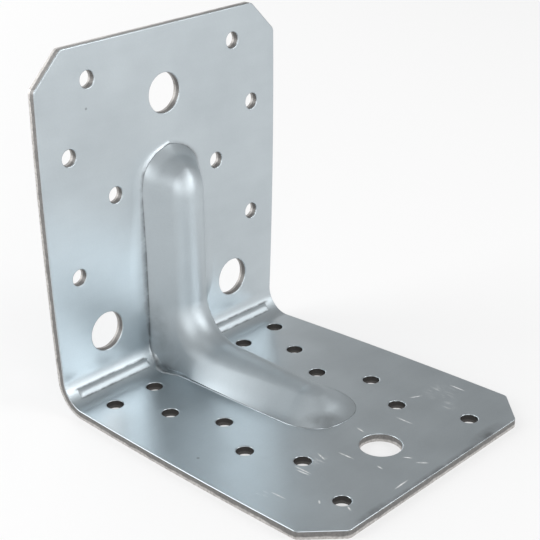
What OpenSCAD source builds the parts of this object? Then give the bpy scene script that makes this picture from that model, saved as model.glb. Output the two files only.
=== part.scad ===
// Ribbed angle bracket for timber joints, pressed and bent from one sheet of zinc-coated steel.
//
// X runs across the width. The upright leg stands at +Y and its outer face is the plane
// Y = base_l / 2, the base leg runs to -Y, and its underside is the plane Z = 0.
// All lengths are in millimetres.

/* [Sheet] */
// Thickness of the sheet
sheet_t = 2.5; // [1.5:0.1:3.5]
// Width at the free ends of the legs
width = 91.5; // [88:0.5:120]
// Height of the upright leg, from the underside to the top edge
upright_h = 105; // [100:0.5:140]
// Length of the base leg, from the outer face of the upright to the free end
base_l = 103; // [98:0.5:140]
// Inner radius of the bend
bend_r = 7.5; // [5:0.5:9]
// How far each side edge is drawn in at the bend
draw_in = 2.5; // [0.5:0.1:4]
// Width and height of the 45-degree cut at each free corner
corner_cut = 9.5; // [4:0.5:12]
// Radius of the two points of each cut corner
corner_r = 2; // [0.5:0.1:4]

/* [Stiffening rib] */
// Width of the rib at its foot on the upright leg
rib_w = 20.8; // [19:0.1:24]
// Width of the rib at its foot near the free end of the base leg
rib_end_w = 18; // [16:0.1:21]
// Height of the rib above the inner face of the upright leg
rib_h = 10.5; // [9:0.1:13]
// Height of the rib above the inner face of the base leg, just past the gusset
rib_base_h = 9; // [8:0.1:12]
// Height of the rib where its nose on the base leg starts
rib_end_h = 6.5; // [5:0.1:7.5]
// Radius of the rounded crest across the rib
crest_r = 8; // [6:0.1:9]
// Radius of the crest line where the rib turns the corner
gusset_r = 12; // [8:0.5:18]
// Height of the rib's upper tip above the underside
rib_top = 70.3; // [60:0.1:72]
// Distance of the rib's lower tip from the outer face of the upright
rib_reach = 68.2; // [60:0.1:71]
// Length of the rounded nose at the upper tip
upper_nose = 10.3; // [7:0.1:14]
// Length of the rounded nose at the lower tip
lower_nose = 8.7; // [7:0.1:14]
// Squareness of the noses seen from the front, where 2 is an ellipse
nose_power = 1.7; // [1.5:0.1:3]

/* [Bead along the bend] */
// Width of the pressed bead on the inside of the bend
bead_w = 3; // [2:0.1:4]
// Height of the bead above the bend
bead_h = 0.45; // [0.2:0.05:0.8]
// Distance from the end of the bead to the side edge
bead_margin = 4.8; // [2:0.1:12]

/* [Nail holes] */
// Diameter of a nail hole
nail_d = 5.3; // [3:0.1:6.5]
// Upright leg: distance of each pair's holes from the middle, from the top row down
upright_nail_x = [27.8, 35.6, 20, 34.8]; // [17:0.1:38]
// Upright leg: distance of each row below the top edge
upright_nail_drop = [9.7, 30, 45, 65.6]; // [8:0.1:70]
// Base leg: distance of each pair's holes from the middle, from the free end inwards
base_nail_x = [27.7, 20.3, 27, 19.8]; // [16:0.1:38]
// Base leg: distance of each of these rows from the free end
base_nail_back = [9.8, 29.7, 44.6, 59.5]; // [8:0.1:64]
// Base leg: distance from the middle of the three pairs next to the bend
bend_nail_x = [26.4, 33.8, 18.9]; // [16:0.1:38]
// Base leg: distance of these pairs from the outer face of the upright
bend_nail_y = [28.5, 13.3, 13.8]; // [13:0.1:32]

/* [Bolt holes] */
// Diameter of a bolt hole
bolt_d = 11.9; // [8:0.1:13]
// Upright leg: distance of the lower pair's holes from the middle
upright_bolt_x = 26; // [20:0.1:34]
// Upright leg: height of the lower pair above the underside
upright_bolt_z = 19.5; // [18:0.1:24]
// Upright leg: distance of the upper hole below the top edge
upright_bolt_drop = 19.6; // [12:0.1:22]
// Base leg: distance of the hole from the free end
base_bolt_back = 19.4; // [12:0.1:22]

/* [Hidden] */

// Smoothness: sides of a hole and of the wide arc of a side edge, and steps of the rib over its
// crest, over the lip of its channel, round a nose, round the gusset, along its taper on the base
// leg, and of each rounded point of a corner
hole_sides = 48;
edge_sides = 720;
crest_steps = 9;
lip_steps = 4;
nose_steps = 12;
gusset_steps = 18;
taper_steps = 4;
corner_steps = 4;

// How far a cutter runs past the metal
past = 1;
// Angle at which the rounded lip of the channel meets the outer face
lip_start = 18;

// The legs are flat from the end of the bend to the free end
bend_out_r = bend_r + sheet_t;
upright_flat = upright_h - bend_out_r;
base_flat = base_l - bend_out_r;
bend_w = width - 2 * draw_in;
bend_axis = [-bend_out_r, bend_out_r];

// Rib's section plane, as [Y from the upright's outer face, Z]: centre of the gusset arc, centres
// of the two noses, and the slope of the crest line that runs down the base leg from the gusset
gusset_c = [-sheet_t - rib_h - gusset_r, sheet_t + rib_base_h + gusset_r];
upper_c = [-sheet_t, rib_top - upper_nose];
lower_c = [-rib_reach + lower_nose, sheet_t];
to_gusset = gusset_c - lower_c - [0, rib_end_h];
base_slope = atan2(to_gusset.y, to_gusset.x) - asin(gusset_r / norm(to_gusset));
gusset_end = gusset_c + gusset_r * [sin(base_slope), -cos(base_slope)];

// Zinc-coated steel
zinc = [0.72, 0.75, 0.77];

function mix(a, b, f) = a + (b - a) * f;

// Points of an arc of radius r that rounds corner q between its neighbours p and s
function rounded(p, q, s, r) =
    let (u = (p - q) / norm(p - q), v = (s - q) / norm(s - q),
         half = acos(u * v) / 2, reach = r / tan(half), axis = (u + v) / norm(u + v),
         c = q + axis * (r / sin(half)), from = q + u * reach - c, to = q + v * reach - c)
    [for (i = [0 : corner_steps])
        let (w = mix(from, to, i / corner_steps)) c + r * w / norm(w)];

// A leg as it lies flat, from the bend at Y = 0 to its free end
module leg_outline(flat_l) {
    half = width / 2;
    start = [half, 0];
    side = [half, flat_l - corner_cut];
    end = [half - corner_cut, flat_l];
    right = concat([start], rounded(start, side, end, corner_r),
                   rounded(side, end, [0, flat_l], corner_r));
    left = [for (i = [len(right) - 1 : -1 : 0]) [-right[i].x, right[i].y]];
    // The side edges are drawn in along an arc that is straight-on at the corner cut
    edge_r = (side.y * side.y + draw_in * draw_in) / (2 * draw_in);
    intersection() {
        polygon(concat(right, left));
        translate([half - edge_r, side.y]) circle(edge_r, $fn = edge_sides);
        translate([edge_r - half, side.y]) circle(edge_r, $fn = edge_sides);
    }
}

module upright_leg() {
    translate([0, 0, bend_out_r]) rotate([90, 0, 0])
        linear_extrude(sheet_t) leg_outline(upright_flat);
}

module base_leg() {
    translate([0, -bend_out_r, 0]) mirror([0, 1, 0])
        linear_extrude(sheet_t) leg_outline(base_flat);
}

// Turns a drawing in [Y, Z] into a bar along X, centred on the middle of the bracket
module across(length) {
    translate([-length / 2, 0, 0]) rotate([90, 0, 90]) linear_extrude(length) children();
}

module bend() {
    across(bend_w) intersection() {
        difference() {
            translate(bend_axis) circle(bend_out_r, $fn = 2 * hole_sides);
            translate(bend_axis) circle(bend_r, $fn = 2 * hole_sides);
        }
        translate([-bend_out_r, 0]) square(bend_out_r);
    }
}

// Low bead that the press leaves along the middle of the inside bend
module bead() {
    bead_r = (bead_w * bead_w / 4 + bead_h * bead_h) / (2 * bead_h);
    across(bend_w - 2 * bead_margin) intersection() {
        translate(bend_axis) rotate(-45) translate([bend_r + bead_r - bead_h, 0])
            circle(bead_r, $fn = 2 * hole_sides);
        translate(bend_axis) circle(bend_r + sheet_t / 2, $fn = 2 * hole_sides);
    }
}

// Way from the gusset's centre, at angle a below level, to the sheet's face that lies
// depth inside the outer faces
function face_at(a, depth) =
    let (d = [cos(a), -sin(a)],
         to_upright = d.x > 0.001 ? (-depth - gusset_c.x) / d.x : 1e6,
         to_base = d.y < -0.001 ? (depth - gusset_c.y) / d.y : 1e6,
         k = min(to_upright, to_base), p = gusset_c + k * d,
         m = gusset_c - bend_axis, r = bend_out_r - depth, b = m * d)
    p.x > bend_axis.x && p.y < bend_axis.y ? -b + sqrt(b * b - m * m + r * r) : k;

// A station of the rib: foot on the inner face, direction of the crest from there, height,
// half width at the foot, and thickness of the sheet measured along that direction
function station(foot, up, h, w, t) = [foot, up, h, w, t];

base_stations = [for (i = [0 : taper_steps - 1])
    let (f = i / taper_steps, y = mix(lower_c.x, gusset_end.x, f))
    station([y, sheet_t], [0, 1], rib_end_h + tan(base_slope) * (y - lower_c.x),
            mix(rib_end_w, rib_w, f / 2) / 2, sheet_t)];
gusset_stations = [for (i = [0 : gusset_steps])
    let (f = i / gusset_steps, a = (90 - base_slope) * (1 - f), d = [cos(a), -sin(a)],
         inner = face_at(a, sheet_t), outer = face_at(a, 0))
    station(gusset_c + inner * d, -d, inner - gusset_r, mix(rib_end_w, rib_w, (1 + f) / 2) / 2,
            outer - inner)];
upright_stations = [station(upper_c, [-1, 0], rib_h, rib_w / 2, sheet_t)];
stations = concat(base_stations, gusset_stations, upright_stations);

// Angle at which the flank leaves the foot: it is tangent to the crest's arc
function flank_angle(h, w) =
    atan2(h - crest_r, w) + asin(crest_r / norm([h - crest_r, w]));

// Half of the rib's section, [distance from the middle, height above the inner face], from the
// bottom of the flank to the crest. inset is 0 on the outside and the sheet's thickness in the
// channel, whose mouth has a rounded lip.
function half_section(s, inset) =
    let (h = s[2], w = s[3], t = s[4], phi = flank_angle(h, w), r = crest_r - inset)
    concat(
        inset == 0
            ? [[w + sheet_t / 2 / tan(phi), -sheet_t / 2]]
            : concat([[w - inset * sin(lip_start), -t - past]],
                     [for (i = [0 : lip_steps]) let (a = mix(lip_start, phi, i / lip_steps))
                         [w - inset * sin(a), -t * cos(a)]]),
        [for (i = [0 : crest_steps]) let (a = mix(phi, 0, i / crest_steps))
            [r * sin(a), h - crest_r + r * cos(a)]]);

// Point of a section at station s: x across, v above the inner face, along the rib's line
function placed(s, x, v, along = 0) =
    let (up = s[1], p = s[0] + up * v + [up.y, -up.x] * along) [x, p.x, p.y];

// Half of a nose in plan for a half width of 1, from its left side round to its right side
function nose_plan() = [for (j = [1 : nose_steps - 1])
    let (a = 180 * j / nose_steps, x = pow(abs(cos(a)), 2 / nose_power))
    [a < 90 ? -x : x, pow(sin(a), 2 / nose_power)]];

// Loop round the rib through point k of each half section: up its left side, round the upper
// nose, down its right side and round the lower nose
function rib_loop(halves, k) =
    let (last = len(stations) - 1, first_half = halves[0][k], last_half = halves[last][k],
         upper = upper_nose / stations[last][3], lower = lower_nose / stations[0][3])
    concat(
        [for (i = [0 : last]) placed(stations[i], -halves[i][k].x, halves[i][k].y)],
        [for (q = nose_plan()) placed(stations[last], last_half.x * q.x, last_half.y,
                                      last_half.x * q.y * upper)],
        [for (i = [last : -1 : 0]) placed(stations[i], halves[i][k].x, halves[i][k].y)],
        [for (q = nose_plan()) placed(stations[0], -first_half.x * q.x, first_half.y,
                                      -first_half.x * q.y * lower)]);

// Solid between the rib's foot and its crest line, lofted through loops that close in on it
module rib_form(inset) {
    halves = [for (s = stations) half_section(s, inset)];
    levels = len(halves[0]) - 1;
    last = len(stations) - 1;
    right = last + nose_steps;
    ring = 2 * (last + nose_steps);
    crest = [for (i = [0 : last]) placed(stations[i], 0, halves[i][levels].y)];
    // Index in the crest line of the point above each point of a loop
    crest_of = [for (p = [0 : ring - 1])
        levels * ring + (p < right ? min(p, last) : max(right + last - p, 0))];
    walls = [for (k = [0 : levels - 2], p = [0 : ring - 1])
        let (a = k * ring + p, b = k * ring + (p + 1) % ring)
        each [[a, b, b + ring], [a, b + ring, a + ring]]];
    roof = [for (p = [0 : ring - 1])
        let (q = (p + 1) % ring, a = (levels - 1) * ring + p, b = (levels - 1) * ring + q)
        each crest_of[p] == crest_of[q] ? [[a, b, crest_of[p]]]
                                        : [[a, b, crest_of[q]], [a, crest_of[q], crest_of[p]]]];
    floor = concat(
        [for (i = [0 : last - 1]) let (c = right + last - i)
            each [[i, c, c - 1], [i, c - 1, i + 1]]],
        [for (p = [last + 1 : right - 1]) [last, p + 1, p]],
        [for (p = [right + last : ring - 2]) [0, p + 1, p]]);
    polyhedron(concat([for (k = [0 : levels - 1]) each rib_loop(halves, k)], crest),
               concat(walls, roof, floor));
}

// A pair of holes x to each side of the middle, at height z in the upright leg
module upright_pair(x, z, d) {
    for (side_of = [-1, 1])
        translate([side_of * x, past, z]) rotate([90, 0, 0]) hole(d);
}

// A pair of holes x to each side of the middle, y from the outer face of the upright
module base_pair(x, y, d) {
    for (side_of = [-1, 1]) translate([side_of * x, -y, -past]) hole(d);
}

module hole(d) {
    cylinder(h = sheet_t + 2 * past, d = d, $fn = hole_sides);
}

module holes() {
    for (i = [0 : 3]) upright_pair(upright_nail_x[i], upright_h - upright_nail_drop[i], nail_d);
    for (i = [0 : 3]) base_pair(base_nail_x[i], base_l - base_nail_back[i], nail_d);
    for (i = [0 : 2]) base_pair(bend_nail_x[i], bend_nail_y[i], nail_d);
    upright_pair(upright_bolt_x, upright_bolt_z, bolt_d);
    translate([0, past, upright_h - upright_bolt_drop]) rotate([90, 0, 0]) hole(bolt_d);
    translate([0, base_bolt_back - base_l, -past]) hole(bolt_d);
}

module bracket() {
    color(zinc) translate([0, base_l / 2, 0]) difference() {
        union() {
            upright_leg();
            base_leg();
            bend();
            bead();
            rib_form(0);
        }
        rib_form(sheet_t);
        holes();
    }
}

bracket();
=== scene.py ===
"""Looks of the ribbed angle bracket: one sheet of zinc-coated steel, punched, pressed and bent.

The bracket is modelled as its smooth front skin, which is then given the thickness of the sheet.
X runs across the width, the upright leg's back is at +Y, and the base leg lies on Z = 0.
"""
import bmesh
import bpy
import math
from collections import namedtuple
from mathutils import Matrix, Vector


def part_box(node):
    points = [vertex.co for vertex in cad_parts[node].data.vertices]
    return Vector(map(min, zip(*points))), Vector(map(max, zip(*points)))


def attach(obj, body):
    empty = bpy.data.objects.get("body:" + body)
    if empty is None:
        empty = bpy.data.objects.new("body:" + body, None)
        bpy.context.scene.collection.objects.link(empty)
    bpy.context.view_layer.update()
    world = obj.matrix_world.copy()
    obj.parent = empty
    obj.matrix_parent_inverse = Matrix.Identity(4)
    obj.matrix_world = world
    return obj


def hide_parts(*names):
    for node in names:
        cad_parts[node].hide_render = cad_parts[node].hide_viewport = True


MM = 0.001

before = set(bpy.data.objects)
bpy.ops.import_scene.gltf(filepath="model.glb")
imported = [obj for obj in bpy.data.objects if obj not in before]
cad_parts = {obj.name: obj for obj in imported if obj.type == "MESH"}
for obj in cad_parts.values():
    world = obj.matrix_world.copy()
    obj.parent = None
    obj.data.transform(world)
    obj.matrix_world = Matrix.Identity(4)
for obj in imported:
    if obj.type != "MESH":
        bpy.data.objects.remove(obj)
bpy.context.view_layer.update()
low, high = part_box("bracket")

# Sheet and outline
SHEET = 2.5 * MM
BACK = high.y
FREE_END = low.y
TOP = high.z
HALF_WIDTH = high.x
BEND_RADIUS = 7.5 * MM
DRAW_IN = 2.5 * MM
CORNER_CUT = 9.5 * MM
CORNER_ROUND = 2 * MM

# The two front faces and the bend's axis
FRONT = BACK - SHEET
BEND_Y = FRONT - BEND_RADIUS
BEND_Z = SHEET + BEND_RADIUS
BEND_HALF = HALF_WIDTH - DRAW_IN

# Rib: half width of its foot on the upright leg and at the lower nose, its height on the upright
# leg, where it reaches the base leg and at the lower nose, the radius across its crest, and the
# radius in which the crest line turns the corner. It is straight up to the two noses.
FOOT = 10.4 * MM
FOOT_END = 9.0 * MM
RIB_HEIGHT = 10.5 * MM
RIB_BASE_HEIGHT = 9.0 * MM
RIB_END_HEIGHT = 6.3 * MM
CREST_RADIUS = 8 * MM
GUSSET_RADIUS = 12 * MM
UPPER_NOSE_Z = 55.5 * MM
LOWER_NOSE_Y = BACK - 54 * MM

# The rib's left foot is straight, and its crest leans to the right towards the lower nose.
CREST_SHIFT = 0.8 * MM
CREST_END_SHIFT = 3.1 * MM

# Noses: how far the foot and the straight crest reach past the rib's last station, the radius from
# the crest to the slope, the powers of the outline across and along, at the foot and at the crest,
# and the width and height of the fillet at the foot. Two powers of 2 make an ellipse.
Nose = namedtuple("Nose", "reach crest radius foot_powers crest_powers fillet fillet_height")
UPPER_NOSE = Nose(reach=14.65 * MM, crest=1.2 * MM, radius=11 * MM, foot_powers=(1.35, 3.6),
                  crest_powers=(1.7, 2.6), fillet=1.2 * MM, fillet_height=1.6 * MM)
LOWER_NOSE = Nose(reach=14.4 * MM, crest=0.5 * MM, radius=14 * MM, foot_powers=(2.35, 2.35),
                  crest_powers=(2, 2), fillet=1 * MM, fillet_height=1 * MM)

# The plate's swell is narrower past a nose than beside the rib, by this share.
NOSE_SWELL = 0.4

# Foot of the rib, in millimetres: how far along it from the upper end of the bend, and there the
# section's points between the plate and the flank, as [out from the foot, height]. The plate swells
# a little beside the upright's rib. The foot is a tight crease along both legs, a small wall beside
# the upright's end of the bend, and a low ridge beside the base's end.
FOOT_SECTIONS = (
    (-50, ((3, 0), (2, 0.03), (1, 0.12), (0.14, 0.28), (0.05, 0.31), (0, 0.4), (-0.1, 0.55))),
    (-26, ((6, 0), (4, 0.1), (2, 0.38), (0.15, 0.8), (0.05, 0.84), (0, 0.95), (-0.1, 1.15))),
    (-12, ((5, 0), (3.4, 0.1), (1.8, 0.38), (0.15, 0.8), (0.05, 0.86), (0, 1), (-0.1, 1.2))),
    (-1, ((1, 0), (0.7, 0.02), (0.4, 0.06), (0.1, 0.12), (0.02, 0.35), (-0.06, 0.8), (-0.15, 1.2))),
    (3, ((0.6, 0), (0.45, 0.02), (0.3, 0.05), (0.16, 0.12), (0.08, 0.35), (-0.06, 0.75),
         (-0.3, 1.15))),
    (6, ((0.8, 0), (0.7, 0.08), (0.6, 0.22), (0.46, 0.42), (0.2, 0.6), (-0.2, 0.8), (-0.6, 0.9))),
    (8.4, ((2.2, 0), (2.1, 0.18), (1.95, 0.4), (1.65, 0.56), (1.3, 0.65), (0.2, 0.6),
           (-0.7, 0.35))),
    (11, ((1.9, 0), (1.82, 0.17), (1.7, 0.35), (1.45, 0.5), (1.1, 0.6), (0, 0.55), (-1.0, 0.32))),
    (13.5, ((1.1, 0), (1.05, 0.15), (0.95, 0.3), (0.75, 0.42), (0.5, 0.5), (-0.5, 0.45),
            (-1.4, 0.3))),
    (16.8, ((-0.1, 0), (-0.13, 0.1), (-0.2, 0.22), (-0.33, 0.3), (-0.5, 0.35), (-1, 0.32),
            (-1.5, 0.22))),
    (21.5, ((-0.1, 0), (-0.12, 0.08), (-0.15, 0.15), (-0.23, 0.21), (-0.35, 0.25), (-0.6, 0.22),
            (-0.85, 0.18))),
    (31, ((0, 0), (-0.02, 0.06), (-0.05, 0.12), (-0.12, 0.17), (-0.2, 0.2), (-0.35, 0.18),
          (-0.5, 0.15))),
    (40, ((0.1, 0), (0.08, 0.02), (0.05, 0.05), (0.02, 0.08), (0, 0.12), (-0.1, 0.16),
          (-0.2, 0.22))),
)
FOOT_POINTS = len(FOOT_SECTIONS[0][1])

# How dark the painted crease shade on the foot's points is, from the plate up
FOOT_SHADE = (0, 0, 0.1, 0.9, 1, 0.5, 0.1)

# Bead along the inside of the bend. Its two edges and the spread of the painted shade in its
# grooves are in degrees of the bend, from the upright leg. It starts nearer the rib at the left,
# side -1.
BEAD_FROM = 31
BEAD_TO = 54
GROOVE_SPREAD = 2.4
BEAD_HEIGHT = 0.42 * MM
BEAD_STARTS = {-1: 12.8 * MM, 1: 14.4 * MM}
BEAD_END = 39.5 * MM
BEAD_ROUND = 1 * MM

# Holes. Their places are in millimetres, as [distance from the middle, height] on the upright leg
# and [distance from the middle, distance from the back] on the base leg, and those off the middle
# are on both sides. The wall shade is how dark the painted shade on their sheared walls is.
NAIL_RADIUS = 2.45 * MM
BOLT_RADIUS = 5.9 * MM
UPRIGHT_NAILS = ((27.8, 95.3), (35.6, 75.0), (20.0, 60.0), (34.8, 39.4))
UPRIGHT_BOLTS = ((0, 85.4), (26.0, 19.5))
BASE_NAILS = ((33.8, 13.3), (18.9, 13.8), (26.4, 28.5), (19.8, 43.5), (27.0, 58.4),
              (20.3, 73.3), (27.7, 93.2))
BASE_BOLTS = ((0, 83.6),)
UPRIGHT_WALL_SHADE = 0.45
BASE_WALL_SHADE = 1

# Rolled edge of the sheet, and the band of faces that is kept free for it along each outline
DIE_ROLL = 0.25 * MM
BAND = 0.31 * MM

# The sheet is fully drawn, and duller, this far above the plates.
DRAWN_HEIGHT = 2 * MM

# Steps of the mesh, how near its parts are merged, and the angle from which an edge is sharp
NAIL_SIDES = 40
BOLT_SIDES = 64
BEND_STEPS = 60
GUSSET_STEPS = 20
STRAIGHT_STEPS = 8
NOSE_STEPS = 40
FLANK_STEPS = 4
CREST_STEPS = 14
EDGE_STEPS = 24
CORNER_STEPS = 5
GAP_STEPS = 3
BEAD_STEPS = 5
BEAD_ROUND_STEPS = 6
ROLL_STEPS = 3
MERGE_RIB = 0.002 * MM
MERGE_SKIN = 0.01 * MM
SHARP_ANGLE = math.radians(35)


def mix(a, b, share):
    return a + (b - a) * share


# Camera

CAMERA_AT = (-0.25229, -0.22681, 0.19568)
CAMERA_YAW = math.radians(-46.99)
CAMERA_PITCH = math.radians(66.04)
CAMERA_ROLL = math.radians(-0.42)
CAMERA_LENS = 90.44
CAMERA_SENSOR = 36
CAMERA_CLIP = 0.01


def make_camera():
    data = bpy.data.cameras.new("camera")
    data.lens = CAMERA_LENS
    data.sensor_width = CAMERA_SENSOR
    data.clip_start = CAMERA_CLIP
    camera = bpy.data.objects.new("camera", data)
    bpy.context.scene.collection.objects.link(camera)
    camera.matrix_world = (Matrix.Translation(CAMERA_AT) @ Matrix.Rotation(CAMERA_YAW, 4, "Z")
                           @ Matrix.Rotation(CAMERA_PITCH, 4, "X")
                           @ Matrix.Rotation(CAMERA_ROLL, 4, "Z"))
    bpy.context.scene.camera = camera


# Rib, as a row of stations along it. A station has its foot on the front face and the way up from
# there to the crest line, both as [Y, Z], the rib's height and half width, and how far the section
# is shifted to the right.

Station = namedtuple("Station", "foot up height half shift")

# Centre of the arc in which the crest line turns the corner
GUSSET = Vector((FRONT - RIB_HEIGHT - GUSSET_RADIUS, SHEET + RIB_BASE_HEIGHT + GUSSET_RADIUS))


def crest_slope():
    """Slope of the crest line on the base leg, which is tangent to the gusset's arc."""
    way = GUSSET - Vector((LOWER_NOSE_Y, SHEET + RIB_END_HEIGHT))
    return math.atan2(way.y, way.x) - math.asin(GUSSET_RADIUS / way.length)


def gusset_station(foot, half):
    way = GUSSET - Vector(foot)
    height = way.length - GUSSET_RADIUS
    return Station(Vector(foot), way.normalized(), height, half + CREST_SHIFT, CREST_SHIFT)


def bend_point(turn, radius=BEND_RADIUS):
    """Point of the bend's arc in [Y, Z], turn radians away from the upright leg."""
    return Vector((BEND_Y + radius * math.cos(turn), BEND_Z - radius * math.sin(turn)))


def bend_turns():
    return [math.pi / 2 * i / BEND_STEPS for i in range(BEND_STEPS + 1)]


def rib_stations():
    """From the lower nose, along the base leg, round the bend and up to the upper nose."""
    slope = crest_slope()
    gusset_foot = GUSSET.x + (GUSSET.y - SHEET) * math.tan(slope)
    base = []
    for i in range(STRAIGHT_STEPS):
        share = i / STRAIGHT_STEPS
        y = mix(LOWER_NOSE_Y, gusset_foot, share)
        height = RIB_END_HEIGHT + math.tan(slope) * (y - LOWER_NOSE_Y)
        shift = mix(CREST_END_SHIFT, CREST_SHIFT, share)
        half = mix(FOOT_END, FOOT, share / 2) + shift
        base.append(Station(Vector((y, SHEET)), Vector((0, 1)), height, half, shift))
    feet = [(mix(gusset_foot, BEND_Y, i / GUSSET_STEPS), SHEET) for i in range(GUSSET_STEPS)]
    feet += [bend_point(turn) for turn in reversed(bend_turns())]
    feet += [(FRONT, mix(BEND_Z, GUSSET.y, i / GUSSET_STEPS)) for i in range(1, GUSSET_STEPS + 1)]
    first = math.atan2(GUSSET.y - SHEET, gusset_foot - GUSSET.x)
    corner = []
    for foot in feet:
        angle = math.atan2(GUSSET.y - foot[1], foot[0] - GUSSET.x)
        corner.append(gusset_station(foot, mix(FOOT, FOOT_END, angle / first / 2)))
    upright = []
    for i in range(1, STRAIGHT_STEPS + 1):
        z = mix(GUSSET.y, UPPER_NOSE_Z, i / STRAIGHT_STEPS)
        upright.append(Station(Vector((FRONT, z)), Vector((-1, 0)), RIB_HEIGHT,
                               FOOT + CREST_SHIFT, CREST_SHIFT))
    return base + corner + upright


def way_along(foot):
    """How far along the rib's foot a point is from the upper end of the bend, in millimetres."""
    if foot.y >= BEND_Z:
        return (BEND_Z - foot.y) / MM
    if foot.x <= BEND_Y:
        return (math.pi / 2 * BEND_RADIUS + BEND_Y - foot.x) / MM
    return math.atan2(BEND_Z - foot.y, foot.x - BEND_Y) * BEND_RADIUS / MM


def foot_section(way):
    """The foot's section part way along the rib, between the two nearest given ones."""
    way = min(FOOT_SECTIONS[-1][0], max(FOOT_SECTIONS[0][0], way))
    for (start, first), (end, last) in zip(FOOT_SECTIONS, FOOT_SECTIONS[1:]):
        if way <= end:
            share = (way - start) / (end - start)
            share = share * share * (3 - 2 * share)
            return [(mix(a, c, share) * MM, mix(b, d, share) * MM)
                    for (a, b), (c, d) in zip(first, last)]


def half_section(station):
    """Half of the rib's section: the foot, a straight flank and the rounded crest it runs into."""
    points = [(station.half + out, rise) for out, rise in foot_section(way_along(station.foot))]
    x, rise = points[-1]
    centre = station.height - CREST_RADIUS
    angle = math.atan2(centre - rise, x) + math.asin(CREST_RADIUS / math.hypot(x, centre - rise))
    crest = []
    for i in range(CREST_STEPS + 1):
        turn = angle * (1 - i / CREST_STEPS)
        crest.append((CREST_RADIUS * math.sin(turn), centre + CREST_RADIUS * math.cos(turn)))
    flank = [tuple(mix(a, b, i / FLANK_STEPS) for a, b in zip(points[-1], crest[0]))
             for i in range(1, FLANK_STEPS)]
    return points + flank + crest


def nose_reaches(station, section, nose):
    """How far a nose reaches beyond its station at each point of the station's section."""
    foot = [(nose.reach + min(x - station.half, NOSE_SWELL * (x - station.half)), rise)
            for x, rise in section[:FOOT_POINTS]]
    start = Vector((foot[-1][0] - nose.fillet, foot[-1][1]))
    middle = Vector((nose.crest, station.height - nose.radius))
    way = start - middle
    angle = math.atan2(way.x, way.y) - math.acos(nose.radius / way.length)
    end = middle + nose.radius * Vector((math.sin(angle), math.cos(angle)))
    reaches = [x for x, _ in foot]
    for _, rise in section[FOOT_POINTS:]:
        if rise < end.y:
            along = mix(start.x, end.x, (rise - start.y) / (end.y - start.y))
            spread = max(0, 1 - (rise - start.y) / nose.fillet_height)
            reaches.append(along + nose.fillet * spread ** 2)
        else:
            up = min(nose.radius, rise - middle.y)
            reaches.append(nose.crest + math.sqrt(nose.radius ** 2 - up ** 2))
    return reaches


def nose_plan(across, along):
    """Outline of a nose from one side to the other, as shares of its half width and its reach."""
    points = []
    for i in range(1, NOSE_STEPS):
        angle = math.pi * i / NOSE_STEPS
        x = math.copysign(abs(math.cos(angle)) ** (2 / across), -math.cos(angle))
        points.append((x, math.sin(angle) ** (2 / along)))
    return points


def nose_rings(station, section, nose):
    """Points of a nose at each level of its station's section, as [x, height, reach]."""
    rings = []
    for (x, height), reach in zip(section, nose_reaches(station, section, nose)):
        share = height / station.height
        across, along = (mix(a, b, share) for a, b in zip(nose.foot_powers, nose.crest_powers))
        rings.append([(x * a, height, reach * b) for a, b in nose_plan(across, along)])
    return rings


def bead_shade(turn, x, start):
    """Painted shade in the two grooves beside a bead."""
    off_edge = min(abs(math.degrees(turn) - edge) for edge in (BEAD_FROM, BEAD_TO))
    along = max(0, min(1, (x - start) / BEAD_ROUND, (BEAD_END + BEAD_ROUND - x) / BEAD_ROUND))
    return math.exp(-(off_edge / GROOVE_SPREAD) ** 2) * along


def bead_height(turn, x, start):
    """How far a bead that starts at this distance from the middle stands proud of the bend."""
    degrees = math.degrees(turn)
    if not BEAD_FROM < degrees < BEAD_TO:
        return 0
    across = 2 * (degrees - BEAD_FROM) / (BEAD_TO - BEAD_FROM) - 1
    along = max(0, min(x - start, BEAD_END - x, BEAD_ROUND)) / BEAD_ROUND
    return BEAD_HEIGHT * (1 - across ** 2) ** 1.5 * math.sqrt(1 - (1 - along) ** 2)


def rib_point(station, x, height, along=0):
    """A point of the rib, along past its station."""
    point = station.foot + station.up * height
    point += Vector((station.up.y, -station.up.x)) * along
    return Vector((x + station.shift, point.x, point.y))


def rib_rings():
    """Closed rings of points, from the plate up to the crest line."""
    stations = rib_stations()
    sections = [half_section(station) for station in stations]
    first, last = stations[0], stations[-1]
    upper = nose_rings(last, sections[-1], UPPER_NOSE)
    lower = nose_rings(first, sections[0], LOWER_NOSE)
    rings = []
    for level in range(len(sections[0])):
        ring = [rib_point(s, -h[level][0], h[level][1]) for s, h in zip(stations, sections)]
        ring += [rib_point(last, x, height, reach) for x, height, reach in upper[level]]
        ring += [rib_point(s, h[level][0], h[level][1])
                 for s, h in reversed(list(zip(stations, sections)))]
        ring += [rib_point(first, -x, height, -reach) for x, height, reach in lower[level]]
        rings.append(ring)
    return rings


# Mesh tools

def deselect_all():
    bpy.ops.object.select_all(action="DESELECT")


def pick(pieces):
    """Selects these pieces alone, with the first one active."""
    deselect_all()
    for piece in pieces:
        piece.select_set(True)
    bpy.context.view_layer.objects.active = pieces[0]


def add_ring(name, points):
    """A closed ring of edges: a circle whose points are moved to their places."""
    deselect_all()
    bpy.ops.mesh.primitive_circle_add(vertices=len(points), radius=1)
    ring = bpy.context.object
    ring.name = name
    for vertex, point in zip(ring.data.vertices, points):
        vertex.co = point
    return ring


def join(pieces, name):
    pick(pieces)
    bpy.ops.object.join()
    joined = bpy.context.object
    joined.name = name
    return joined


def edit(piece, select=True):
    pick([piece])
    bpy.ops.object.mode_set(mode="EDIT")
    bpy.ops.mesh.select_all(action="SELECT" if select else "DESELECT")


def leave():
    bpy.ops.object.mode_set(mode="OBJECT")


def apply_modifiers(piece):
    pick([piece])
    for modifier in list(piece.modifiers):
        bpy.ops.object.modifier_apply(modifier=modifier.name)


# Front skin

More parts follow.
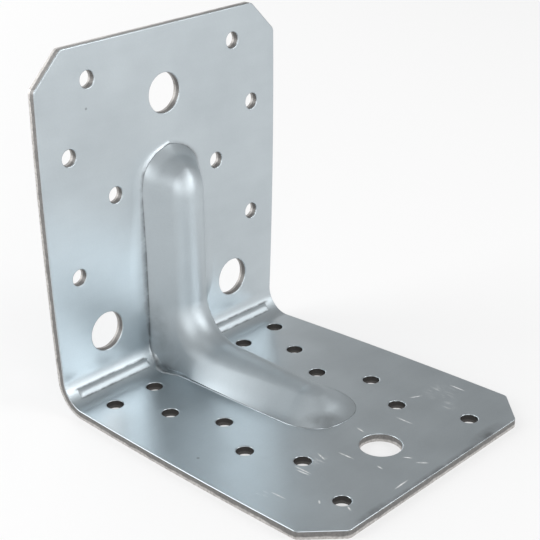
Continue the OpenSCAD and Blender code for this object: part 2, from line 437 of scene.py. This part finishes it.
def draw_up(name, rings, painted_shade=()):
    """A skin drawn from one closed ring of points to the next. The last argument is how dark the
    painted crease shade is on each of the first rings."""
    skin = add_ring(name, rings[0])
    order = skin.data.attributes.new("order", "INT", "POINT")
    order.data.foreach_set("value", range(len(rings[0])))
    crease = skin.data.attributes.new("crease_shade", "FLOAT", "POINT")
    crease.data.foreach_set("value", [painted_shade[0] if painted_shade else 0] * len(rings[0]))
    edit(skin)
    for level, ring in enumerate(rings[1:], 1):
        bpy.ops.mesh.extrude_edges_move()
        mesh = bmesh.from_edit_mesh(skin.data)
        order = mesh.verts.layers.int["order"]
        crease = mesh.verts.layers.float["crease_shade"]
        for vertex in mesh.verts:
            if vertex.select:
                vertex.co = ring[vertex[order]]
                vertex[crease] = painted_shade[level] if level < len(painted_shade) else 0
        bmesh.update_edit_mesh(skin.data)
    leave()
    skin.data.attributes.remove(skin.data.attributes["order"])
    return skin


def make_rib():
    """The rib's foot ring, drawn up ring by ring to the crest line."""
    # Painted shade along the foot's crease
    rib = draw_up("rib", rib_rings(), FOOT_SHADE)
    edit(rib)
    bpy.ops.mesh.remove_doubles(threshold=MERGE_RIB)
    leave()
    return rib


def hole_rings(nails, bolts, bend):
    """Rings of a leg's holes, as [x, distance from the bend]."""
    rings = []
    kinds = ((nails, NAIL_RADIUS, NAIL_SIDES), (bolts, BOLT_RADIUS, BOLT_SIDES))
    for holes, radius, sides in kinds:
        turns = [2 * math.pi * i / sides for i in range(sides)]
        for x, along in holes:
            for side in (-1, 1) if x else (1,):
                middle = Vector((side * x * MM, along * MM - bend))
                rings.append([middle + radius * Vector((math.cos(a), math.sin(a))) for a in turns])
    return rings


def rounded_corner(before, corner, after):
    """Arc that rounds one point of a cut corner."""
    to_before = (before - corner).normalized()
    to_after = (after - corner).normalized()
    half = to_before.angle(to_after) / 2
    reach = CORNER_ROUND / math.tan(half)
    centre = corner + (to_before + to_after).normalized() * (CORNER_ROUND / math.sin(half))
    start = corner + to_before * reach - centre
    end = corner + to_after * reach - centre
    return [centre + start.lerp(end, i / CORNER_STEPS).normalized() * CORNER_ROUND
            for i in range(CORNER_STEPS + 1)]


def leg_edge(length):
    """Right half of a flat leg's outline as [x, distance from the bend], without the bend line."""
    straight = length - CORNER_CUT
    side = Vector((HALF_WIDTH, straight))
    end = Vector((HALF_WIDTH - CORNER_CUT, length))
    arc = (straight ** 2 + DRAW_IN ** 2) / (2 * DRAW_IN)
    points = []
    for i in range(1, EDGE_STEPS):
        along = (straight - CORNER_ROUND) * i / EDGE_STEPS
        x = HALF_WIDTH - arc + math.sqrt(arc ** 2 - (straight - along) ** 2)
        points.append(Vector((x, along)))
    points += rounded_corner(Vector((HALF_WIDTH, 0)), side, end)
    points += rounded_corner(side, end, Vector((0, length)))
    return points


def bend_line(foot, start):
    """Places across the bend from the rib's foot to the side edge, closer at the bead's ends."""
    rounding = [BEAD_ROUND * i / BEAD_ROUND_STEPS for i in range(BEAD_ROUND_STEPS + 1)]
    gap = [mix(foot, start, i / GAP_STEPS) for i in range(GAP_STEPS)]
    bead = [start + x for x in rounding]
    middle = [mix(bead[-1], BEAD_END - BEAD_ROUND, i / BEAD_STEPS) for i in range(1, BEAD_STEPS)]
    end = [BEAD_END - x for x in reversed(rounding)]
    return gap + bead + middle + end + [mix(BEAD_END, BEND_HALF, 0.5), BEND_HALF]


def leg_ring(foot, length):
    """Outline of a leg around the rib's foot, as [x, distance from the bend]. foot runs along the
    rib's foot from its left end to its right end."""
    edge = leg_edge(length)
    right = [Vector((x, 0)) for x in bend_line(foot[-1].x, BEAD_STARTS[1])] + edge
    left = [Vector((x, 0)) for x in bend_line(-foot[0].x, BEAD_STARTS[-1])] + edge
    return list(foot[1:-1]) + right + [Vector((-p.x, p.y)) for p in reversed(left)]


def moved_in(ring, distance):
    """A closed outline moved to its left by distance, with its corners kept."""
    moved = []
    for i, point in enumerate(ring):
        before = (point - ring[i - 1]).normalized()
        after = (ring[(i + 1) % len(ring)] - point).normalized()
        way = (before + after).normalized()
        moved.append(point + Vector((-way.y, way.x)) * (distance / way.dot(after)))
    return moved


def make_leg(name, foot, length, to_place, holes):
    """A flat leg: a band along each of its edges, and one filled face between the bands."""
    outlines = [(leg_ring(foot, length), BAND)] + [(hole, -BAND) for hole in holes]
    bands = []
    inner_rings = []
    for outline, distance in outlines:
        ring = [to_place(*p) for p in outline]
        inner = [to_place(*p) for p in moved_in(outline, distance)]
        bands.append(draw_up("band", [ring, inner]))
        inner_rings.append(add_ring("ring", inner))
    face = join(inner_rings, "face")
    edit(face)
    bpy.ops.mesh.fill(use_beauty=True)
    leave()
    return join([face] + bands, name)


def make_bend(left_foot, right_foot):
    """The two strips of the bend, at the left and right of the rib. The rib's feet there are given
    as distances from the middle, from the upright leg to the base leg."""
    turns = bend_turns()
    strips = []
    for side, feet in ((-1, left_foot), (1, right_foot)):
        deselect_all()
        start = BEAD_STARTS[side]
        columns = len(bend_line(feet[0], start)) - 1
        bpy.ops.mesh.primitive_grid_add(x_subdivisions=columns, y_subdivisions=BEND_STEPS, size=1)
        strip = bpy.context.object
        crease = strip.data.attributes.new("crease_shade", "FLOAT", "POINT")
        for vertex in strip.data.vertices:
            row = round((vertex.co.y + 0.5) * BEND_STEPS)
            column = round((vertex.co.x + 0.5) * columns)
            x = bend_line(feet[row], start)[column]
            point = bend_point(turns[row], BEND_RADIUS - bead_height(turns[row], x, start))
            vertex.co = (side * x, point.x, point.y)
            # Painted shade in the bead's grooves
            crease.data[vertex.index].value = bead_shade(turns[row], x, start)
        strips.append(strip)
    return strips


def make_skin():
    """The whole front face, with the rib, both legs and the bend merged along their edges.

    The rib's foot ring runs up the left side, round the upper nose, down the right side and round
    the lower nose, so that station i has its points at i and at last - i."""
    ring = rib_rings()[0]
    last = 2 * len(rib_stations()) + NOSE_STEPS - 2
    first_bend = STRAIGHT_STEPS + GUSSET_STEPS
    last_bend = first_bend + BEND_STEPS
    upright_foot = [Vector((p.x, p.z - BEND_Z)) for p in ring[last_bend:last - last_bend + 1]]
    base_foot = [Vector((p.x, BEND_Y - p.y))
                 for p in ring[last - first_bend:] + ring[:first_bend + 1]]
    upright = make_leg("upright", upright_foot, TOP - BEND_Z,
                       lambda x, along: Vector((x, FRONT, BEND_Z + along)),
                       hole_rings(UPRIGHT_NAILS, UPRIGHT_BOLTS, BEND_Z))
    base = make_leg("base", base_foot[::-1], BEND_Y - FREE_END,
                    lambda x, along: Vector((x, BEND_Y - along, SHEET)),
                    hole_rings(BASE_NAILS, BASE_BOLTS, BACK - BEND_Y))
    left_foot = [-p.x for p in reversed(ring[first_bend:last_bend + 1])]
    right_foot = [p.x for p in ring[last - last_bend:last - first_bend + 1]]
    bend = make_bend(left_foot, right_foot)
    skin = join([make_rib(), upright, base] + bend, "bracket_sheet")
    edit(skin)
    bpy.ops.mesh.remove_doubles(threshold=MERGE_SKIN)
    bpy.ops.mesh.normals_make_consistent(inside=False)
    facing_back = sum(face.normal.y for face in bmesh.from_edit_mesh(skin.data).faces) > 0
    if facing_back:
        bpy.ops.mesh.flip_normals()
    leave()
    return skin


def paint_hole_walls(skin):
    """How dark the painted shade on the sheared wall of each hole is, kept on the points around the
    hole. The base leg's bolt hole has none."""
    dark = skin.data.attributes.new("wall_shade", "FLOAT", "POINT")
    holes = [(Vector((side * x * MM, FRONT, z * MM)), radius, UPRIGHT_WALL_SHADE)
             for group, radius in ((UPRIGHT_NAILS, NAIL_RADIUS), (UPRIGHT_BOLTS, BOLT_RADIUS))
             for x, z in group for side in (-1, 1)]
    holes += [(Vector((side * x * MM, BACK - along * MM, SHEET)), NAIL_RADIUS, BASE_WALL_SHADE)
              for x, along in BASE_NAILS for side in (-1, 1)]
    for vertex in skin.data.vertices:
        for middle, radius, painted_shade in holes:
            if (vertex.co - middle).length < radius + BAND:
                dark.data[vertex.index].value = painted_shade


def paint_drawn(skin):
    """Where the sheet was stretched and so is duller: the rib and the bend, away from both legs."""
    drawn = skin.data.attributes.new("drawn", "FLOAT", "POINT")
    for vertex in skin.data.vertices:
        off_legs = min(FRONT - vertex.co.y, vertex.co.z - SHEET)
        drawn.data[vertex.index].value = max(0, min(1, off_legs / DRAWN_HEIGHT))


def paint_depth(skin):
    """How deep each point lies in the sheet: 0 on the front face and 1 on the back face."""
    depth = skin.data.attributes.new("depth", "FLOAT", "POINT")
    back = skin.vertex_groups["back"].index
    for vertex in skin.data.vertices:
        depth.data[vertex.index].value = any(group.group == back for group in vertex.groups)


def thicken(skin):
    """Gives the skin its thickness behind the front face, with a flat back beside the swell of the
    plates, and rolls over the sheared edges."""
    skin.vertex_groups.new(name="back")
    solidify = skin.modifiers.new("thickness", "SOLIDIFY")
    solidify.thickness = SHEET
    solidify.offset = -1
    solidify.use_even_offset = True
    solidify.use_quality_normals = True
    solidify.shell_vertex_group = "back"
    solidify.material_offset_rim = 1
    apply_modifiers(skin)
    paint_depth(skin)
    for vertex in skin.data.vertices:
        vertex.co.y = min(vertex.co.y, BACK)
        vertex.co.z = max(vertex.co.z, 0)
    edit(skin, select=False)
    bpy.ops.mesh.select_mode(type="EDGE")
    mesh = bmesh.from_edit_mesh(skin.data)
    groups = mesh.verts.layers.deform.active
    back = skin.vertex_groups["back"].index
    for edge in mesh.edges:
        rims = sum(face.material_index for face in edge.link_faces)
        edge.select_set(rims == 1 and not any(back in v[groups] for v in edge.verts))
    bmesh.update_edit_mesh(skin.data)
    bpy.ops.mesh.bevel(offset=DIE_ROLL, segments=ROLL_STEPS, profile=0.5, affect="EDGES",
                       material=0)
    leave()


def finish_normals(piece):
    pick([piece])
    bpy.ops.object.shade_smooth_by_angle(angle=SHARP_ANGLE)
    normals = piece.modifiers.new("normals", "WEIGHTED_NORMAL")
    normals.mode = "FACE_AREA_WITH_ANGLE"
    normals.weight = 50
    normals.keep_sharp = True
    apply_modifiers(piece)


# Materials. The places and sizes in these lists are in millimetres.

# Pale scratches on the base leg's upper face, as [x, y, half length, turn in degrees], their half
# width, and how deep all wear reaches
SCRATCHES = (
    (14.6, -28.9, 2.9, -89),
    (2.4, -23.0, 1.5, -101),
    (-10.6, -28.7, 2.7, -88),
    (-23.7, -24.8, 2.9, -90),
    (-24.6, -25.6, 2.2, -86),
    (-15.4, -24.1, 2.0, -109),
    (-36.9, -28.2, 2.5, -88),
    (-0.3, -41.5, 1.3, -59),
    (0.3, -46.0, 1.7, -52),
    (-9.1, -39.1, 1.0, -98),
    (-11.8, -48.3, 2.8, 2),
    (39.9, -28.9, 2.7, -90),
    (27.7, -23.1, 1.9, -30),
    (-32.1, -37.9, 0.9, -131),
    (-29.3, -45.4, 1.2, -118),
)
SCRATCH_WIDTH = 0.27
WEAR_DEPTH = 1

# Scuffed patches, as [x, y, radius] on the base leg
SCUFFS = (
    (34.5, -26.8, 5.5),
    (-39.5, -24.2, 3.0),
    (-17.5, -24.5, 4.0),
    (29.5, -33.0, 3.2),
)

# Dark marks, as [middle, radii, turn in degrees]: painted shade at the corner of the rib and on
# its lower nose, and smudges along the base leg's free end
SHADE_AND_SMUDGES = (
    ((-11.4, 43.5, 14), (4.5, 7.5, 15.0), 0),
    ((-9.6, 41.5, 3), (1.2, 6.5, 1.6), 0),
    ((-2.2, -12.6, 2.5), (7.0, 3.4, 4), -38),
    ((1.0, -51.6, 2.5), (37.0, 1.8, 4), 0),
    ((-26.0, -50.8, 2.5), (9.0, 1.6, 4), 0),
    ((24.0, -51.0, 2.5), (10.0, 3.4, 4), 2),
)

# Dark specks, as [x, y, z, radius]
SPECKS = (
    (-28.8, 49, 87.3, 0.45),
    (-38.1, -0.2, 2.5, 0.5),
    (-3.6, 38.9, 34.9, 0.7),
    (-5.4, 40.2, 45.4, 0.6),
)

# Darker and lighter tone of each metal, and the colours that lie on it
ZINC = ((0.475, 0.525, 0.555, 1), (0.55, 0.605, 0.635, 1))
SHEARED = ((0.17, 0.168, 0.165, 1), (0.27, 0.262, 0.255, 1))
TORN = ((0.40, 0.385, 0.37, 1), (0.66, 0.645, 0.63, 1))
SPECK_COLOUR = (0.16, 0.17, 0.18, 1)
# Painted shade at the rib's corner and lower nose, and smudges along the base leg's free end
SHADE_AND_SMUDGE_COLOUR = (0.14, 0.145, 0.15, 1)
# Painted shade in the creases
CREASE_SHADE_COLOUR = (0.13, 0.135, 0.14, 1)
WORN_COLOUR = (0.86, 0.87, 0.87, 1)
# Painted shade on the walls of the holes
WALL_SHADE_COLOUR = (0.05, 0.047, 0.045, 1)


def node(tree, kind, inputs=None, **settings):
    """A shader node with its settings, and its inputs set to values or linked to outputs."""
    made = tree.nodes.new(kind)
    for name, value in settings.items():
        setattr(made, name, value)
    for key, value in (inputs or {}).items():
        if isinstance(value, bpy.types.NodeSocket):
            tree.links.new(value, made.inputs[key])
        else:
            made.inputs[key].default_value = value
    return made


def noise(tree, place, scale, detail=3, stretch=(1, 1, 1)):
    """Cloudy noise, scale times per metre, that can be stretched along an axis."""
    mapped = node(tree, "ShaderNodeMapping", {"Vector": place, "Scale": stretch})
    made = node(tree, "ShaderNodeTexNoise", {"Vector": mapped.outputs["Vector"], "Scale": scale,
                                             "Detail": detail})
    return made.outputs["Fac"]


def ramp(tree, value, low, high, out_low=0.0, out_high=1.0):
    """A value that goes from out_low to out_high while another goes from low to high."""
    made = node(tree, "ShaderNodeMapRange", {"Value": value, "From Min": low, "From Max": high,
                                             "To Min": out_low, "To Max": out_high})
    return made.outputs["Result"]


def vary(tree, pattern, low=0.0, high=1.0):
    """A noise pattern spread over the range from low to high."""
    return ramp(tree, pattern, 0.3, 0.7, low, high)


def combine(tree, operation, first, second):
    made = node(tree, "ShaderNodeMath", {0: first, 1: second}, operation=operation)
    return made.outputs["Value"]


def blend(tree, share, first, second):
    made = node(tree, "ShaderNodeMix", {0: share, 6: first, 7: second}, data_type="RGBA")
    return made.outputs[2]


def ovals(tree, place, shapes):
    """How far a point is from the nearest of some ovals, 1 on their rims. A shape is
    [middle, radii, turn in degrees]."""
    nearest = None
    for middle, radii, turn in shapes:
        mapped = node(tree, "ShaderNodeMapping",
                      {"Vector": place, "Location": middle, "Scale": radii,
                       "Rotation": (0, 0, math.radians(turn))}, vector_type="TEXTURE")
        length = node(tree, "ShaderNodeVectorMath", {0: mapped.outputs["Vector"]},
                      operation="LENGTH").outputs["Value"]
        nearest = combine(tree, "MINIMUM", nearest, length) if nearest else length
    return nearest


def attribute(tree, name):
    return node(tree, "ShaderNodeAttribute", attribute_name=name).outputs["Fac"]


def bump(tree, height, strength, distance, under=None):
    """A bump from a pattern of heights, over another bump where one is given."""
    inputs = {"Height": height, "Strength": strength, "Distance": distance}
    if under:
        inputs["Normal"] = under
    return node(tree, "ShaderNodeBump", inputs).outputs["Normal"]


def start_material(name):
    """A metal material, its node tree, its shader and the object coordinates."""
    material = bpy.data.materials.new(name)
    material.use_nodes = True
    tree = material.node_tree
    shader = tree.nodes["Principled BSDF"]
    shader.inputs["Metallic"].default_value = 1
    place = node(tree, "ShaderNodeTexCoord").outputs["Object"]
    return material, tree, shader, place


def specks(tree, place):
    """How dark the specks are."""
    off = ovals(tree, place, [(Vector((x, y, z)) * MM, [radius * MM] * 3, 0)
                              for x, y, z, radius in SPECKS])
    return ramp(tree, off, 0.5, 1.1, 0.6, 0)


def shade_and_smudges(tree, place):
    """How dark the cloudy marks are: painted shade at the rib's corner and on its lower nose, and
    smudges along the base leg's free end.
    """
    off = ovals(tree, place, [(Vector(middle) * MM, Vector(radii) * MM, turn)
                              for middle, radii, turn in SHADE_AND_SMUDGES])
    return combine(tree, "MULTIPLY", ramp(tree, off, 0.2, 1, 0.7, 0),
                   vary(tree, noise(tree, place, 260, 4), 0.15, 1))


def wear(tree, place):
    """How far the coat is rubbed in the scuffed patches and scored by the scratches."""
    off_scuffs = ovals(tree, place, [((x * MM, y * MM, SHEET), Vector((r, r, WEAR_DEPTH)) * MM, 0)
                                     for x, y, r in SCUFFS])
    lines = ramp(tree, noise(tree, place, 900, 4, (1, 0.3, 1)), 0.52, 0.66)
    rubbed = combine(tree, "MULTIPLY", ramp(tree, off_scuffs, 0.3, 1, 0.36, 0), lines)
    off_scratches = ovals(tree, place, [((x * MM, y * MM, SHEET),
                                         Vector((length, SCRATCH_WIDTH, WEAR_DEPTH)) * MM, turn)
                                        for x, y, length, turn in SCRATCHES])
    broken = ramp(tree, noise(tree, place, 1400, 2), 0.3, 0.5, 0.4, 1)
    scored = combine(tree, "MULTIPLY", ramp(tree, off_scratches, 0.5, 1.15, 1, 0), broken)
    return combine(tree, "MAXIMUM", rubbed, scored)


def crease_shade(tree, place):
    """Patchy painted shade in the creases of the front face."""
    patchy = ramp(tree, noise(tree, place, 260, 3), 0.35, 0.6, 0.25, 0.85)
    painted_shade = combine(tree, "MULTIPLY", attribute(tree, "crease_shade"), patchy)
    return combine(tree, "MULTIPLY", painted_shade, combine(tree, "SUBTRACT", 1, attribute(tree, "depth")))


def zinc():
    """Zinc coat: faint clouds, rolling streaks and grain, with specks, smudges, wear and painted
    shade. It is duller where the sheet was drawn, where it is worn and where shade is painted in the
    creases."""
    material, tree, shader, place = start_material("zinc_coat")
    clouds = noise(tree, place, 75, 4)
    grain = noise(tree, place, 1900, 2)
    streaks = noise(tree, place, 420, 3, (0.12, 1, 1))
    worn = wear(tree, place)
    painted_shade = crease_shade(tree, place)

    tone = combine(tree, "ADD", vary(tree, clouds, 0, 0.5), vary(tree, streaks, 0, 0.15))
    tone = combine(tree, "ADD", tone, vary(tree, grain, 0, 0.2))
    colour = blend(tree, tone, *ZINC)
    colour = blend(tree, specks(tree, place), colour, SPECK_COLOUR)
    # Painted shade at the rib's corner and lower nose, and smudges along the base leg's free end
    colour = blend(tree, shade_and_smudges(tree, place), colour, SHADE_AND_SMUDGE_COLOUR)
    colour = blend(tree, worn, colour, WORN_COLOUR)
    # Painted shade in the creases
    colour = blend(tree, painted_shade, colour, CREASE_SHADE_COLOUR)
    tree.links.new(colour, shader.inputs["Base Color"])

    bare = combine(tree, "SUBTRACT", 1, combine(tree, "MULTIPLY", worn, 0.7))
    tree.links.new(bare, shader.inputs["Metallic"])

    rough = combine(tree, "ADD", vary(tree, clouds, 0.29, 0.34), vary(tree, streaks, 0, 0.02))
    for cause, share in ((attribute(tree, "drawn"), 0.17), (worn, 0.15), (painted_shade, 0.15)):
        rough = combine(tree, "ADD", rough, combine(tree, "MULTIPLY", cause, share))
    tree.links.new(rough, shader.inputs["Roughness"])

    waves = bump(tree, noise(tree, place, 45, 2), 0.25, 0.5 * MM)
    tree.links.new(bump(tree, grain, 0.25, 0.012 * MM, waves), shader.inputs["Normal"])
    return material


def sheared_edge():
    """Sheared edge: dark over most of the depth and bright and torn near the back, with painted
    shade on the walls of the holes.
    """
    material, tree, shader, place = start_material("sheared_edge")
    grain = noise(tree, place, 1300, 4)
    wander = vary(tree, noise(tree, place, 220, 3), -0.1, 0.1)
    torn = ramp(tree, combine(tree, "ADD", attribute(tree, "depth"), wander), 0.6, 0.74)
    tone = vary(tree, grain)
    colour = blend(tree, torn, blend(tree, tone, *SHEARED), blend(tree, tone, *TORN))
    # Painted shade on the walls of the holes
    painted_shade = combine(tree, "MULTIPLY", attribute(tree, "wall_shade"), 0.85)
    colour = blend(tree, painted_shade, colour, WALL_SHADE_COLOUR)
    tree.links.new(colour, shader.inputs["Base Color"])
    tree.links.new(vary(tree, grain, 0.42, 0.6), shader.inputs["Roughness"])
    tree.links.new(bump(tree, grain, 0.5, 0.05 * MM), shader.inputs["Normal"])
    return material


# Light and floor

# Round softboxes on a ball around the bracket, as [name, azimuth, elevation, angle from its middle
# to its rim as seen from the bracket, brightness]. All angles are in degrees.
SOFTBOXES = (
    ("key", -126, 20, 20, 2.3),
    ("front_right", -54, 28, 14, 4.2),
    ("front_low", -74, 8, 15, 2.8),
    ("back_left", 138, 22, 24, 3.2),
    ("back_right", 78, 22, 30, 1.3),
    ("top", 180, 80, 15, 0.6),
)
SOFTBOX_DISTANCE = 1
SOFTBOX_AIM = Vector((0, 0, 0.04))
ROOM_BRIGHTNESS = 0.42

# How much of the floor's white is its own where the camera or the metal sees it, which leaves the
# rest to its paint and to the shadow on it
FLOOR_WHITE = 0.6
FLOOR_SIZE = 20
FLOOR_PAINT = (0.9, 0.9, 0.9, 1)
WHITE = (1, 1, 1, 1)


def make_softbox(name, azimuth, elevation, half_angle, brightness):
    """A disc of light whose power is its brightness times pi times its area."""
    turn = math.radians(azimuth)
    rise = math.radians(elevation)
    radius = SOFTBOX_DISTANCE * math.tan(math.radians(half_angle))
    level = math.cos(rise)
    away = Vector((level * math.cos(turn), level * math.sin(turn), math.sin(rise)))
    data = bpy.data.lights.new(name, "AREA")
    data.shape = "DISK"
    data.size = 2 * radius
    data.energy = brightness * math.pi * (math.pi * radius ** 2)
    softbox = bpy.data.objects.new(name, data)
    softbox.location = SOFTBOX_AIM + away * SOFTBOX_DISTANCE
    softbox.rotation_euler = away.to_track_quat("Z", "Y").to_euler()
    softbox.visible_camera = False
    bpy.context.scene.collection.objects.link(softbox)


def make_floor():
    """A pale matt floor that shows as white and keeps a soft shadow."""
    deselect_all()
    bpy.ops.mesh.primitive_plane_add(size=FLOOR_SIZE, location=(0, 0, 0))
    floor = bpy.context.object
    floor.name = "floor"
    material = bpy.data.materials.new("floor")
    material.use_nodes = True
    tree = material.node_tree
    tree.nodes.remove(tree.nodes["Principled BSDF"])
    paint = node(tree, "ShaderNodeBsdfDiffuse", {"Color": FLOOR_PAINT}).outputs["BSDF"]
    glow = node(tree, "ShaderNodeEmission", {"Color": WHITE, "Strength": 1}).outputs["Emission"]
    path = node(tree, "ShaderNodeLightPath").outputs
    seen = combine(tree, "ADD", path["Is Camera Ray"], path["Is Glossy Ray"])
    seen = node(tree, "ShaderNodeMath", {0: seen, 1: path["Is Transmission Ray"]},
                operation="ADD", use_clamp=True).outputs["Value"]
    share = combine(tree, "MULTIPLY", seen, FLOOR_WHITE)
    mixed = node(tree, "ShaderNodeMixShader", {0: share, 1: paint, 2: glow}).outputs["Shader"]
    tree.links.new(mixed, tree.nodes["Material Output"].inputs["Surface"])
    floor.data.materials.append(material)


def make_world():
    world = bpy.data.worlds.new("studio")
    bpy.context.scene.world = world
    world.use_nodes = True
    background = world.node_tree.nodes["Background"]
    background.inputs["Color"].default_value = WHITE
    background.inputs["Strength"].default_value = ROOM_BRIGHTNESS


# Bracket and studio

make_camera()
bracket = make_skin()
bracket.data.materials.append(zinc())
bracket.data.materials.append(sheared_edge())
paint_hole_walls(bracket)
paint_drawn(bracket)
thicken(bracket)
finish_normals(bracket)
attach(bracket, "root")
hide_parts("bracket")
for softbox in SOFTBOXES:
    make_softbox(*softbox)
make_floor()
make_world()
bpy.context.scene.view_settings.view_transform = "Standard"
